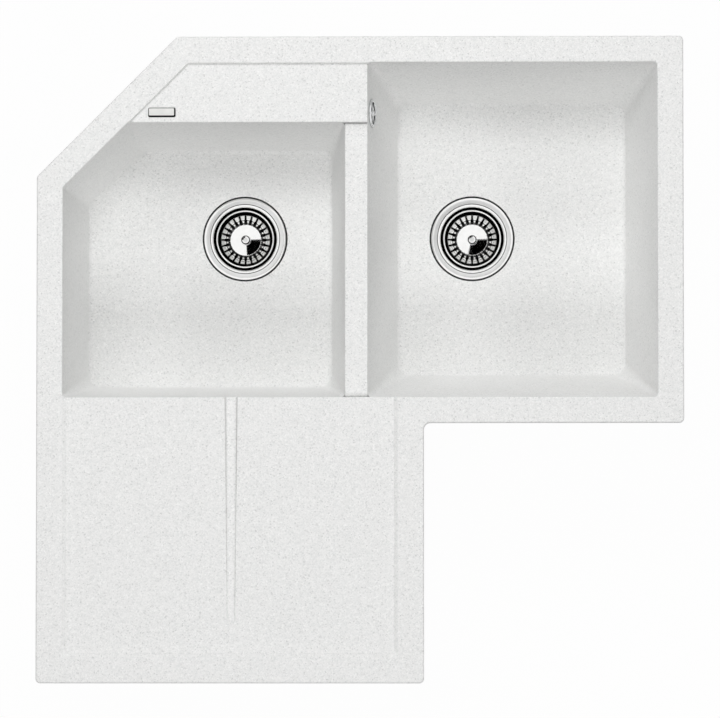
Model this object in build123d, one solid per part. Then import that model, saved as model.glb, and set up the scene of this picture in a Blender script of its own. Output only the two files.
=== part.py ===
from build123d import *
import math
import os

os.makedirs("parts", exist_ok=True)

# Corner kitchen sink: a granite composite moulding with two bowls, a tap ledge and a drainer, let into an
# L-shaped worktop. Millimetres, +Z up. The plan is laid out from the outline's front left corner (u to the
# right, v to the back), and z = 0 is the rim's seat on the worktop.

# Outline
overall = 830.0
arm_depth = 497.0
chamfer_length = 180.0
outer_corner_radius = 6.0
notch_corner_radius = 8.5

# Rim, deck and divider
rim_width = 33.5
rim_height = 9.0
rim_edge_radius = 2.2
deck_drop = 3.0
deck_slope = 4.5
ledge_slope = 2.2
inner_notch_radius = 3.0
divider_drop = 7.0
lip_radius = 1.6
wall = 9.0
seat_width = 10.0

# Bowls: the left bowl is shorter, to leave a ledge for the tap behind it
bowl_depth = 190.0
neck_depth = 12.0
ledge_width = 77.0
left_bowl_width = 362.0
bowl_gap = 29.5
left_draft = 20.5
right_draft = 36.0
bowl_corner_radius = 5.0
bowl_foot_radius = 17.0
floor_radius = 6.0
drain_back_distance = 247.5
left_drain_u = 260.0
right_drain_u = 559.0

# Drain channel in the drainer
channel_u = 250.0
channel_mouth = 17.0
channel_tip = 11.0
channel_side = 1.5
channel_end_v = 75.5
channel_depth = 3.5
channel_tip_depth = 1.2

# Marks for a tap, moulded into the underside of the tap ledge
tap_mark_radius = 17.5
tap_mark_depth = 4.0
tap_mark_places = (215.0, 300.0)

# Badge plate
badge_u = 160.5
badge_offset = 13.0
badge_length = 35.0
badge_width = 12.0
badge_thickness = 0.8
badge_corner = 1.8

# Basket strainer, measured from the bowl floor around the drain's axis
flange_radius = 54.9
flange_sheet = 1.4
flange_edge_radius = 0.8
flange_step_radius = 51.2
flange_rise = 0.6
cup_radius = 41.4
cup_sheet = 1.0
cup_depth = 32.0
cup_roll = 4.0
cup_outlet_radius = 20.0
hub_radius = 9.0
spoke_width = 4.0
seat_recess = 2.5
seat_gap = 1.2
drain_hole_radius = 46.0
gasket_thickness = 1.5
gasket_inset = 1.5
gasket_bore_gap = 0.5
drain_boss_radius = 64.0

# Basket: its keyhole slots are wide at the floor and narrow up to the shoulder
slot_count = 24
slot_width = 3.2
slot_neck_width = 1.5
slot_inner_radius = 20.4
slot_neck_radius = 25.6
slot_outer_radius = 32.2
basket_floor_radius = 20.0
basket_shoulder_radius = 33.4
basket_bend_radius = 2.5
basket_sheet = 0.9
basket_rim_radius = 38.2
basket_rim_wire = 1.15
basket_top = -1.6
basket_shoulder_z = -11.0
basket_floor_z = -23.0
basket_mouth_radius = 35.6
knob_radius = 5.8
knob_height = 8.5
knob_head_height = 2.6
knob_neck_height = 3.8
knob_neck_radius = 3.4
knob_flare = 1.2
knob_rounding = 1.5
stopper_radius = 24.0
stopper_skirt = 4.0
stopper_sheet = 1.6
stopper_rounding = 1.0
stopper_lip_radius = 0.5
stopper_gap = 0.3
stem_radius = 2.4
stem_clearance = 0.6

# Clamp screw of the strainer
drain_screw_radius = 3.0
drain_screw_head_radius = 7.5
drain_screw_head = 4.0
drain_screw_chamfer = 0.8
screw_web = 1.0
screw_fit = 0.05

# Valve body under each bowl
lower_gasket_thickness = 3.0
valve_flange_thickness = 4.0
valve_wall = 3.0
valve_clearance = 1.8
valve_depth = 30.0
valve_cone = 12.0
thread_radius = 23.9
thread_length = 20.0
pipe_radius = 20.0
pipe_wall = 2.0
valve_boss_radius = 6.5
valve_edge_radius = 1.0
valve_shoulder_radius = 5.0
valve_cone_radius = 2.0
thread_edge_radius = 0.5
valve_rib_count = 8
valve_rib_turn = 20.0
valve_rib_width = 2.0
valve_rib_reach = 3.5
valve_rib_height = 9.5

# Waste pipework
bend_radius = 32.0
collar_radius = 23.5
collar_thickness = 3.0
washer_thickness = 2.0
nut_radius = 30.0
nut_height = 22.0
nut_wall = 3.0
nut_chamfer = 1.0
nut_sides = 12
thread_fit = 0.1
slip_fit = 0.2
bell_length = 24.0
elbow_drop = 8.0
branch_length = 22.0
tee_tail = 24.0

# Overflow of the right bowl
overflow_offset = 14.5
overflow_drop = 36.0
rosette_radius = 18.0
rosette_thickness = 3.0
rosette_edge_radius = 1.8
rosette_slot_width = 4.0
rosette_slot_length = 9.0
rosette_slot_middle = 10.0
rosette_slots = 6
overflow_hole_radius = 11.5
overflow_gasket_thickness = 2.0
overflow_flange_radius = 16.5
overflow_flange_thickness = 3.0
overflow_box_radius = 14.0
overflow_box_depth = 19.0
overflow_box_wall = 2.0
overflow_screw_radius = 2.0
overflow_screw_head_radius = 4.0
overflow_screw_head = 2.0
overflow_screw_slot = 1.0
overflow_screw_slot_depth = 0.8
overflow_post_wall = 2.0
overflow_post_setback = 2.0
overflow_post_gap = 1.0
spigot_radius = 8.5
spigot_wall = 1.5
spigot_length = 16.0
hose_radius = 11.0
hose_fit = 0.3
hose_level = 20.0
hose_bend_radius = 46.0
hose_start_run = 12.0
valve_spigot_reach = 20.0

# Worktop clamps: a steel strip that swivels on a long screw
clamp_inset = 20.0
front_clamp_u = 265.0
left_clamps_v = (180.0, 560.0)
back_clamps_u = (300.0, 650.0)
right_clamp_v = 590.0
notch_clamp_u = 650.0
arm_clamp_v = 190.0
clamp_boss_radius = 7.5
clamp_boss_depth = 12.0
clamp_screw_radius = 2.5
clamp_plug_radius = 4.0
clamp_plug_length = 10.0
clamp_plug_collar = 1.0
clamp_plug_gap = 0.5
clamp_screw_length = 46.0
clamp_screw_setback = 2.0
clamp_screw_head_radius = 5.0
clamp_screw_head = 3.5
clamp_screw_slot = 1.2
clamp_screw_chamfer = 0.6
clamp_strip = 1.8
clamp_width = 14.0
clamp_reach = 30.0
clamp_claw_height = 11.0
clamp_notch = 2.3
clamp_fit = 0.08
clamp_gap = 0.25

# Cutting solids run this far past the faces that they cut
over = 1.0

rim_top = rim_height
deck_top = rim_top - deck_drop
divider_top = deck_top - divider_drop
floor_top = rim_top - bowl_depth
neck = rim_top - neck_depth
draught_height = bowl_depth - neck_depth
notch = overall - arm_depth
left_bowl_back = overall - rim_width - ledge_width
left_bowl_right = rim_width + left_bowl_width
right_bowl_left = left_bowl_right + bowl_gap
drain_v = overall - drain_back_distance
badge_v = left_bowl_back + badge_offset
overflow_v = left_bowl_back + overflow_offset
diagonal = math.sqrt(2)
seat_middle = seat_width / 2
origin_u = chamfer_length / 2 + seat_middle / diagonal
origin_v = overall - chamfer_length / 2 - seat_middle / diagonal


def save(name, shape):
    """Writes one sub-part, with its origin moved to the middle of the chamfered corner's seat."""
    export_step(Pos(-origin_u, -origin_v, 0) * shape, f"parts/{name}.step")


def corner_outline(inset):
    """The seven corners of the L-shaped outline with its cut back corner, moved inwards by inset."""
    near = inset
    far = overall - inset
    cut = inset * (diagonal - 1)
    return [
        (near, near),
        (arm_depth - inset, near),
        (arm_depth - inset, notch + inset),
        (far, notch + inset),
        (far, far),
        (chamfer_length + cut, far),
        (near, overall - chamfer_length - cut),
    ]


def rounded_face(points, z, radii):
    """A flat face at height z through the points, with each corner rounded by its own radius."""
    face = make_face(Polyline(*points, close=True))
    for radius in sorted(set(radii) - {0}):
        chosen = [Vector(*point) for point, its_radius in zip(points, radii) if its_radius == radius]
        corners = [
            corner for corner in face.vertices() if min((corner.center() - place).length for place in chosen) < 1e-6
        ]
        face = fillet(corners, radius)
    return Pos(0, 0, z) * face


def outline_face(inset, z, outer_radius, notch_radius):
    radii = [outer_radius] * 7
    radii[2] = notch_radius
    return rounded_face(corner_outline(inset), z, radii)


def left_bowl_points(inset):
    """The left bowl's plan: a rectangle whose back left corner follows the cut corner of the sink."""
    left = rim_width + inset
    front = notch + rim_width + inset
    back = left_bowl_back - inset
    right = left_bowl_right - inset
    slant = overall - chamfer_length - (rim_width + inset) * diagonal
    return [(left, front), (right, front), (right, back), (back - slant, back), (left, left + slant)]


def right_bowl_points(inset):
    far = overall - rim_width - inset
    left = right_bowl_left + inset
    front = notch + rim_width + inset
    return [(left, front), (far, front), (far, far), (left, far)]


def bowl_section(points_of, z, inset, radius):
    points = points_of(inset)
    return rounded_face(points, z, [radius] * len(points))


def bowl_solid(points_of, draft, margin, foot):
    """A bowl's outside: upright at the neck, then a draught to the foot with ever rounder corners."""
    corner = bowl_corner_radius + margin
    solid = loft(
        [
            bowl_section(points_of, 0, -margin, corner),
            bowl_section(points_of, neck, -margin, corner),
            bowl_section(points_of, foot, draft * (neck - foot) / draught_height - margin, bowl_foot_radius + margin),
        ],
        ruled=True,
    )
    return fillet(solid.edges().group_by(Axis.Z)[0], floor_radius + margin / 2)


def bowl_space(points_of, draft):
    """A bowl's inside, flared at the rim for a rounded lip."""
    half_round = lip_radius * (1 - diagonal / 2)
    corner = bowl_corner_radius
    solid = loft(
        [
            bowl_section(points_of, rim_top, -lip_radius, corner + lip_radius),
            bowl_section(points_of, rim_top - half_round, -half_round, corner + half_round),
            bowl_section(points_of, rim_top - lip_radius, 0, corner),
            bowl_section(points_of, neck, 0, corner),
            bowl_section(points_of, floor_top, draft, bowl_foot_radius),
        ],
        ruled=True,
    )
    return fillet(solid.edges().group_by(Axis.Z)[0], floor_radius)


def edge_round(start, end, to_material, level):
    """What a straight edge at this level loses to its rounding."""
    begin = Vector(*start, level)
    along = Vector(*end, level) - begin
    plane = Plane(origin=begin, x_dir=(*to_material, 0), z_dir=along.normalized())
    down = -1 if plane.y_dir.Z > 0 else 1
    side = lip_radius + over
    middle = (lip_radius - over) / 2
    corner = Pos(middle, down * middle) * Rectangle(side, side)
    kept = Pos(lip_radius, down * lip_radius) * (Circle(lip_radius) + Rectangle(over, over))
    return extrude(plane * (corner - kept), along.length)


def channel_section(v, width, depth):
    """A section across the drain channel, which is open at the top and has sloping sides."""
    half = width / 2
    foot = half - channel_side
    outline = Polyline((-half, -over), (half, -over), (half, 0), (foot, depth), (-foot, depth), (-half, 0), close=True)
    return Plane(origin=(channel_u, v, deck_top), z_dir=(0, 1, 0), x_dir=(1, 0, 0)) * make_face(outline)


def ring(outer, inner, bottom, height):
    """A plain ring around the Z axis."""
    return Pos(0, 0, bottom) * (
        Cylinder(outer, height, align=(Align.CENTER, Align.CENTER, Align.MIN))
        - Cylinder(inner, height, align=(Align.CENTER, Align.CENTER, Align.MIN))
    )


def disc(radius, bottom, height):
    return Pos(0, 0, bottom) * Cylinder(radius, height, align=(Align.CENTER, Align.CENTER, Align.MIN))


def turned(points, radii=None):
    """A solid turned around the Z axis from an outline of radius and height, with its corners rounded."""
    outline = rounded_face(points, 0, radii or [0] * len(points))
    return revolve(Rot(90, 0, 0) * outline, Axis.Z)


# Clamp places: the pivot's plan position and the direction out over the worktop, in degrees
def clamp_places():
    near = clamp_inset
    far = overall - clamp_inset
    return [
        (front_clamp_u, near, 270),
        *[(near, v, 180) for v in left_clamps_v],
        *[(u, far, 90) for u in back_clamps_u],
        (far, right_clamp_v, 0),
        (notch_clamp_u, notch + near, 270),
        (arm_depth - near, arm_clamp_v, 0),
    ]


# Overflow frame: Z points out of the wall into the right bowl, X points down along the wall
wall_angle = math.degrees(math.atan2(right_draft, draught_height))
overflow_u = right_bowl_left + right_draft * (overflow_drop - neck_depth) / draught_height
overflow_plane = Plane(
    origin=(overflow_u, overflow_v, rim_top - overflow_drop),
    x_dir=(math.sin(math.radians(wall_angle)), 0, -math.cos(math.radians(wall_angle))),
    z_dir=(math.cos(math.radians(wall_angle)), 0, math.sin(math.radians(wall_angle))),
)


def deck_step(slope):
    """The space over the deck, whose sides slope down from the rim."""
    sections = [
        outline_face(rim_width, rim_top, bowl_corner_radius, inner_notch_radius),
        outline_face(rim_width + slope, deck_top, bowl_corner_radius, inner_notch_radius),
    ]
    return loft(sections, ruled=True)


def make_body():
    rim = extrude(outline_face(0, 0, outer_corner_radius, notch_corner_radius), rim_height)
    rim = fillet(rim.faces().sort_by(Axis.Z)[-1].edges(), rim_edge_radius)

    deck_foot = deck_top - wall
    deck = extrude(
        outline_face(rim_width - wall, deck_foot, bowl_corner_radius + wall, inner_notch_radius),
        -deck_foot,
    )
    front = notch + rim_width
    divider = Pos(left_bowl_right - wall, front - wall, divider_top - wall) * Box(
        bowl_gap + 2 * wall,
        left_bowl_back - front + 2 * wall,
        wall - divider_top,
        align=(Align.MIN, Align.MIN, Align.MIN),
    )
    bowl_foot = floor_top - wall
    left_shell = bowl_solid(left_bowl_points, left_draft, wall, bowl_foot)
    right_shell = bowl_solid(right_bowl_points, right_draft, wall, bowl_foot)
    body = rim + deck + divider + left_shell + right_shell
    for u in (left_drain_u, right_drain_u):
        body += Pos(u, drain_v, bowl_foot - seat_recess) * Cone(
            drain_boss_radius - seat_recess,
            drain_boss_radius,
            seat_recess + over,
            align=(Align.CENTER, Align.CENTER, Align.MIN),
        )
    for u, v, _ in clamp_places():
        body += Pos(u, v, -clamp_boss_depth) * Cylinder(
            clamp_boss_radius, clamp_boss_depth + over, align=(Align.CENTER, Align.CENTER, Align.MIN)
        )

    # The deck lies a little below the rim, behind a sloping step that is steeper along the tap ledge
    ledge_start = left_bowl_back - bowl_corner_radius
    ledge_zone = Pos(0, ledge_start, deck_foot) * Box(
        right_bowl_left + bowl_corner_radius,
        overall - ledge_start,
        rim_top - deck_foot,
        align=(Align.MIN, Align.MIN, Align.MIN),
    )
    body -= deck_step(deck_slope)
    body -= deck_step(ledge_slope) & ledge_zone
    body -= Pos(left_bowl_right - bowl_corner_radius, front, divider_top) * Box(
        bowl_gap + 2 * bowl_corner_radius,
        left_bowl_back - front,
        wall * 2,
        align=(Align.MIN, Align.MIN, Align.MIN),
    )
    body -= bowl_space(left_bowl_points, left_draft)
    body -= bowl_space(right_bowl_points, right_draft)

    # Rounded edges of the deck and the divider
    drainer_inset = rim_width + deck_slope
    ledge_inset = rim_width + ledge_slope
    ledge_left = left_bowl_back - overall + chamfer_length + ledge_inset * diagonal
    ledge_back = overall - ledge_inset
    body -= edge_round((drainer_inset, front), (arm_depth - drainer_inset, front), (0, -1), deck_top)
    body -= edge_round((ledge_left, left_bowl_back), (right_bowl_left, left_bowl_back), (0, 1), deck_top)
    body -= edge_round((right_bowl_left, left_bowl_back), (right_bowl_left, ledge_back), (-1, 0), deck_top)
    body -= edge_round((left_bowl_right, front), (left_bowl_right, left_bowl_back), (1, 0), divider_top)
    body -= edge_round((right_bowl_left, front), (right_bowl_left, left_bowl_back), (-1, 0), divider_top)

    # Drain channel: a trough that narrows and runs out towards the front, with a round end
    tip_v = channel_end_v + channel_tip / 2
    body -= loft(
        [
            channel_section(tip_v, channel_tip, channel_tip_depth),
            channel_section(front + over, channel_mouth, channel_depth),
        ],
        ruled=True,
    )
    body -= Pos(channel_u, tip_v, deck_top - channel_tip_depth) * Cone(
        channel_tip / 2 - channel_side,
        channel_tip / 2 + channel_side * over / channel_tip_depth,
        channel_tip_depth + over,
        align=(Align.CENTER, Align.CENTER, Align.MIN),
    )

    # Drain holes with a recess for the strainer's flange
    for u in (left_drain_u, right_drain_u):
        body -= Pos(u, drain_v, floor_top - seat_recess) * Cylinder(
            flange_radius + seat_gap, wall, align=(Align.CENTER, Align.CENTER, Align.MIN)
        )
        body -= Pos(u, drain_v, floor_top) * Cylinder(drain_hole_radius, wall * 4)

    # Overflow hole, clamp holes and tap marks
    body -= overflow_plane * Cylinder(overflow_hole_radius, wall * 4)
    for u, v, _ in clamp_places():
        body -= Pos(u, v, -clamp_boss_depth) * Cylinder(
            clamp_plug_radius, clamp_plug_length, align=(Align.CENTER, Align.CENTER, Align.MIN)
        )
    mark_v = left_bowl_back + ledge_width / 2
    for u in tap_mark_places:
        body -= Pos(u, mark_v, deck_foot) * Cylinder(
            tap_mark_radius, tap_mark_depth, align=(Align.CENTER, Align.CENTER, Align.MIN)
        )
    return body


def make_badge():
    plate = rounded_face(
        [
            (badge_u - badge_length / 2, badge_v - badge_width / 2),
            (badge_u + badge_length / 2, badge_v - badge_width / 2),
            (badge_u + badge_length / 2, badge_v + badge_width / 2),
            (badge_u - badge_length / 2, badge_v + badge_width / 2),
        ],
        deck_top,
        [badge_corner] * 4,
    )
    plate = extrude(plate, badge_thickness)
    return chamfer(plate.faces().sort_by(Axis.Z)[-1].edges(), badge_thickness / 3)


# Heights of the strainer and the valve body, from the bowl floor
flange_foot = gasket_thickness - seat_recess
flange_top = flange_foot + flange_sheet
gasket_bore = drain_hole_radius + gasket_bore_gap
cup_foot = -cup_depth - cup_sheet
valve_top = -wall - seat_recess - lower_gasket_thickness
valve_cup_foot = valve_top - valve_depth
valve_cone_foot = valve_cup_foot - valve_cone
valve_end = valve_cone_foot - thread_length
collar_top = valve_end - washer_thickness
collar_foot = collar_top - collar_thickness
nut_foot = collar_foot - nut_wall
pipe_bore = pipe_radius - pipe_wall
pipe_level = collar_foot - elbow_drop - bend_radius
bell_start = bend_radius + elbow_drop
valve_bore = cup_radius + cup_sheet + valve_clearance


def make_strainer_cup():
    """The steel flange and its cup, with a spoked hub for the clamp screw in the outlet."""
    profile = [
        (flange_radius, flange_foot),
        (flange_radius, flange_top),
        (flange_step_radius, flange_top + flange_rise),
        (cup_radius, flange_top + flange_rise),
        (cup_radius, -cup_depth),
        (cup_outlet_radius, -cup_depth),
        (cup_outlet_radius, cup_foot),
        (cup_radius + cup_sheet, cup_foot),
        (cup_radius + cup_sheet, flange_foot),
    ]
    radii = [0, flange_edge_radius, 0, cup_roll, cup_roll, 0, 0, cup_roll + cup_sheet, cup_roll - cup_sheet]
    cup = turned(profile, radii)
    cup += disc(hub_radius, cup_foot, cup_sheet)
    for turn in (0, 90):
        cup += Pos(0, 0, cup_foot + cup_sheet / 2) * Rot(0, 0, turn + 45) * Box(
            2 * (cup_outlet_radius + cup_sheet), spoke_width, cup_sheet
        )
    return cup - disc(drain_screw_radius + screw_fit, cup_foot - over, cup_sheet + 2 * over)


def make_drain_screw():
    """A flat headed screw whose hollow head guides the basket's stem."""
    head = disc(drain_screw_head_radius, -cup_depth, drain_screw_head)
    head = chamfer(head.faces().sort_by(Axis.Z)[-1].edges(), drain_screw_chamfer)
    shank = disc(drain_screw_radius, valve_cone_foot - valve_boss_radius / 2, -cup_depth - valve_cone_foot)
    socket = disc(stem_radius + stem_clearance, -cup_depth + screw_web, drain_screw_head)
    return head + shank - socket


def make_valve_body(spigot_turn=None):
    """The plastic body that the screw pulls up against the floor; one has a spigot for the overflow."""
    outer = valve_bore + valve_wall
    profile = [
        (valve_bore, valve_top),
        (flange_radius, valve_top),
        (flange_radius, valve_top - valve_flange_thickness),
        (outer, valve_top - valve_flange_thickness),
        (outer, valve_cup_foot - valve_wall / 2),
        (thread_radius, valve_cone_foot - valve_wall / 2),
        (thread_radius, valve_end),
        (pipe_bore, valve_end),
        (pipe_bore, valve_cone_foot),
        (valve_bore, valve_cup_foot),
    ]
    edge = valve_edge_radius
    tip = thread_edge_radius
    radii = [0, edge, edge, edge, valve_shoulder_radius, valve_cone_radius, tip, tip, 0, valve_wall]
    body = turned(profile, radii)
    boss_foot = valve_cone_foot - valve_boss_radius
    boss = disc(valve_boss_radius, boss_foot, valve_cone)
    for turn in (0, 120, 240):
        boss += Rot(0, 0, turn) * Pos(0, 0, boss_foot) * Box(
            pipe_bore + over, valve_wall, valve_boss_radius, align=(Align.MIN, Align.CENTER, Align.MIN)
        )
    body += boss
    body -= disc(drain_screw_radius + screw_fit, boss_foot - over, valve_cone + 2 * over)
    rib_top = valve_top - valve_flange_thickness / 2
    rib = Box(
        valve_wall / 2 + valve_rib_reach, valve_rib_width, valve_rib_height, align=(Align.MIN, Align.CENTER, Align.MAX)
    )
    for step in range(valve_rib_count):
        turn = valve_rib_turn + 360 * step / valve_rib_count
        body += Rot(0, 0, turn) * Pos(outer - valve_wall / 2, 0, rib_top) * rib
    if spigot_turn is not None:
        reach = Rot(0, 0, spigot_turn) * Pos(0, 0, hose_height) * Rot(0, 90, 0)
        body += reach * disc(spigot_radius, valve_bore + over, valve_spigot_reach + valve_wall)
        body -= reach * disc(spigot_radius - spigot_wall, valve_bore - 2 * over, valve_spigot_reach + 3 * valve_wall)
    return body


def make_basket():
    """A pressed steel basket: wire rim, steep wall, and keyhole slots cut through its conical shoulder."""
    thick = basket_sheet
    bend = basket_bend_radius
    rim_z = basket_top - basket_rim_wire
    outer = [
        (basket_mouth_radius, rim_z),
        (basket_shoulder_radius, basket_shoulder_z),
        (basket_floor_radius, basket_floor_z),
        (0, basket_floor_z),
    ]
    inner = [
        (0, basket_floor_z + thick),
        (basket_floor_radius - thick / 2, basket_floor_z + thick),
        (basket_shoulder_radius - thick, basket_shoulder_z + thick / 2),
        (basket_mouth_radius - thick, rim_z),
    ]
    shell = turned(outer + inner, [0, bend + thick / 2, bend, 0, 0, bend, bend, 0])
    rim_middle = basket_rim_radius - basket_rim_wire
    web = ring(rim_middle, basket_mouth_radius - thick, rim_z - thick / 2, thick)
    shell = shell + web + Pos(0, 0, rim_z) * Torus(rim_middle, basket_rim_wire)
    slot_height = 2 * (basket_shoulder_z - basket_floor_z)
    inwards = (Align.MIN, Align.CENTER, Align.CENTER)
    slot = Pos(slot_inner_radius, 0, basket_floor_z) * (
        Box(slot_neck_radius - slot_inner_radius, slot_width, slot_height, align=inwards)
        + Box(slot_outer_radius - slot_inner_radius, slot_neck_width, slot_height, align=inwards)
    )
    return shell - [Rot(0, 0, 360 * step / slot_count) * slot for step in range(slot_count)]


def make_knob():
    """The basket's knob, with its neck through the floor and the stem below it."""
    floor = basket_floor_z + basket_sheet
    top = floor + knob_height
    profile = [
        (0, floor),
        (knob_neck_radius + knob_flare, floor),
        (knob_neck_radius, floor + knob_neck_height),
        (knob_radius, top - knob_head_height),
        (knob_radius, top),
        (0, top),
    ]
    return turned(profile, [0, 0, knob_rounding, knob_rounding / 2, knob_rounding, 0])


def make_stopper():
    """The rubber stopper under the basket, with the stem that runs into the screw's hollow head."""
    skirt_foot = -cup_depth + stopper_gap
    top = basket_floor_z
    web_foot = skirt_foot + stopper_skirt
    profile = [
        (0, top),
        (hub_radius, top),
        (hub_radius + stopper_sheet, web_foot + stopper_sheet),
        (stopper_radius, web_foot + stopper_sheet),
        (stopper_radius, skirt_foot),
        (stopper_radius - stopper_sheet, skirt_foot),
        (stopper_radius - stopper_sheet, web_foot),
        (0, web_foot),
    ]
    bend = stopper_rounding
    lip = stopper_lip_radius
    stopper = turned(profile, [0, bend, bend, bend, lip, lip, 0, 0])
    stem_foot = -cup_depth + screw_web + stopper_gap
    return stopper + disc(stem_radius, stem_foot, top - stem_foot)


def make_union_nut():
    """A round nut with flats: its lip is at z = 0 and it opens upwards."""
    nut = extrude(RegularPolygon(nut_radius, nut_sides), nut_height)
    nut = chamfer(nut.faces().sort_by(Axis.Z)[0].edges(), nut_chamfer)
    nut -= disc(thread_radius + thread_fit, nut_wall, nut_height)
    return nut - disc(pipe_radius + slip_fit, -over, nut_wall + 2 * over)


def make_elbow():
    """The left outlet elbow: a loose collar above, a quarter bend, and a threaded bell to the right."""
    start = collar_foot + over
    path = FilletPolyline(
        (0, 0, start),
        (0, 0, pipe_level),
        (bell_start + over, 0, pipe_level),
        radius=bend_radius,
    )
    pipe = sweep(Pos(0, 0, start) * Circle(pipe_radius), path=path)
    elbow = pipe + ring(collar_radius, pipe_bore, collar_foot, collar_thickness)
    along = Pos(bell_start, 0, pipe_level) * Rot(0, 90, 0)
    elbow += along * disc(thread_radius, 0, bell_length)
    bore_path = FilletPolyline(
        (0, 0, collar_top + over),
        (0, 0, pipe_level),
        (bell_start + bell_length, 0, pipe_level),
        radius=bend_radius,
    )
    elbow -= sweep(Pos(0, 0, collar_top + over) * Circle(pipe_bore), path=bore_path)
    return elbow - along * disc(pipe_radius + slip_fit, pipe_wall, bell_length)


def make_tee():
    """The right outlet tee: the cross pipe joins from the left and the waste leaves through the threaded foot."""
    tail = pipe_level - pipe_radius - tee_tail
    tee = disc(collar_radius, collar_foot, collar_thickness)
    tee += disc(pipe_radius, tail, collar_foot - tail + over)
    tee += disc(thread_radius, tail - thread_length, thread_length)
    across = Pos(0, 0, pipe_level) * Rot(0, -90, 0)
    branch = pipe_radius + branch_length
    tee += across * disc(pipe_radius, 0, branch)
    tee += across * disc(thread_radius, branch, bell_length)
    tee -= disc(pipe_bore, tail - thread_length - over, collar_top - tail + thread_length + 2 * over)
    tee -= across * disc(pipe_bore, 0, branch + bell_length + over)
    return tee - across * disc(pipe_radius + slip_fit, branch + pipe_wall, bell_length)


def make_rosette():
    """A round cover with six slots and a countersunk middle, in the overflow's own frame."""
    cover = disc(rosette_radius, 0, rosette_thickness)
    cover = fillet(cover.faces().sort_by(Axis.Z)[-1].edges(), rosette_edge_radius)
    slot = extrude(SlotOverall(rosette_slot_length, rosette_slot_width), rosette_thickness + over, both=True)
    for step in range(rosette_slots):
        cover -= Rot(0, 0, 360 * step / rosette_slots) * Pos(rosette_slot_middle, 0, 0) * slot
    cover -= disc(overflow_screw_radius + screw_fit, -over, rosette_thickness + 2 * over)
    head_foot = rosette_thickness - overflow_screw_head / 2
    return cover - disc(overflow_screw_head_radius + screw_fit, head_foot, rosette_thickness)


wall_back = -wall * math.cos(math.radians(wall_angle))
gasket_back = wall_back - overflow_gasket_thickness
flange_back = gasket_back - overflow_flange_thickness
box_back = gasket_back - overflow_box_depth
spigot_depth = (gasket_back + box_back - overflow_box_wall) / 2


def make_overflow_screw():
    foot = box_back - overflow_box_wall
    screw = disc(overflow_screw_radius, foot, rosette_thickness - foot)
    head = disc(overflow_screw_head_radius, rosette_thickness - overflow_screw_head / 2, overflow_screw_head)
    head = fillet(head.faces().sort_by(Axis.Z)[-1].edges(), overflow_screw_head / 3)
    slot = Pos(0, 0, rosette_thickness + overflow_screw_head / 2) * Box(
        3 * overflow_screw_head_radius, overflow_screw_slot, 2 * overflow_screw_slot_depth
    )
    return screw + head - slot


def make_overflow_box():
    """The housing behind the wall: a flange, a shallow box, and a spigot that points down for the hose."""
    box = disc(overflow_flange_radius, flange_back, overflow_flange_thickness)
    box += disc(overflow_box_radius, box_back, gasket_back - box_back)
    down = Pos(0, 0, spigot_depth) * Rot(0, 90, 0)
    box += down * disc(spigot_radius, 0, overflow_box_radius + spigot_length)
    box -= disc(overflow_box_radius - overflow_box_wall, box_back + overflow_box_wall, overflow_box_depth)
    post_radius = overflow_screw_radius + overflow_post_wall
    box += disc(post_radius, box_back, gasket_back - box_back - overflow_post_setback)
    box -= down * disc(
        spigot_radius - spigot_wall, post_radius + overflow_post_gap, overflow_box_radius + spigot_length
    )
    return box - disc(overflow_screw_radius + screw_fit, box_back - overflow_box_wall * 2, overflow_box_depth * 2)


# Overflow hose: out of the housing's spigot, straight down beside the bowl, then under it to the valve body
hose_height = -wall - seat_recess - hose_level
valve_spigot_angle = math.degrees(
    math.atan2(
        overflow_v - drain_v,
        overflow_plane.from_local_coords((overflow_box_radius + spigot_length, 0, spigot_depth)).X - right_drain_u,
    )
)


def hose_path():
    """Along the wall out of the spigot, straight down beside the bowl, then level to the valve's spigot."""
    start = overflow_plane.from_local_coords((overflow_flange_radius + hose_fit, 0, spigot_depth))
    knee = overflow_plane.from_local_coords((overflow_box_radius + spigot_length + hose_start_run, 0, spigot_depth))
    level = floor_top + hose_height
    turn = math.radians(valve_spigot_angle)
    reach = valve_bore + valve_wall + hose_start_run / 2
    end = Vector(right_drain_u + reach * math.cos(turn), drain_v + reach * math.sin(turn), level)
    run = math.hypot(knee.X - right_drain_u, knee.Y - drain_v)
    corner = Vector(right_drain_u + run * math.cos(turn), drain_v + run * math.sin(turn), level)
    return FilletPolyline(start, knee, corner, end, radius=[hose_bend_radius, hose_bend_radius])


def make_hose():
    path = hose_path()
    start = path @ 0
    section = Plane(origin=start, z_dir=path % 0) * (Circle(hose_radius) - Circle(spigot_radius + hose_fit))
    return sweep(section, path=path)


# Worktop clamps, each around its own pivot at the origin, with the strip along +X
def make_clamp_strip():
    """A steel strip with a round end on the screw and a claw bent up at its tip."""
    half = clamp_width / 2
    strip_foot = -clamp_screw_length
    strip = extrude(
        Pos(0, 0, strip_foot) * (Circle(half) + Pos(clamp_reach / 2, 0) * Rectangle(clamp_reach, clamp_width)),
        clamp_strip,
    )
    claw = Pos(clamp_reach, 0, strip_foot) * Box(
        clamp_strip, clamp_width, clamp_claw_height, align=(Align.MAX, Align.CENTER, Align.MIN)
    )
    strip += claw
    outer_bend = strip.edges().filter_by(Axis.Y).group_by(Axis.Z)[0].sort_by(Axis.X)[-1]
    strip = fillet(outer_bend, clamp_strip)
    for side in (-1, 1):
        strip -= Pos(clamp_reach, side * half / 2, strip_foot + clamp_claw_height) * Rot(45, 0, 0) * Box(
            3 * clamp_strip, clamp_notch, clamp_notch
        )
    return strip - disc(clamp_screw_radius + clamp_fit, strip_foot - over, clamp_strip + 2 * over)


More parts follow.
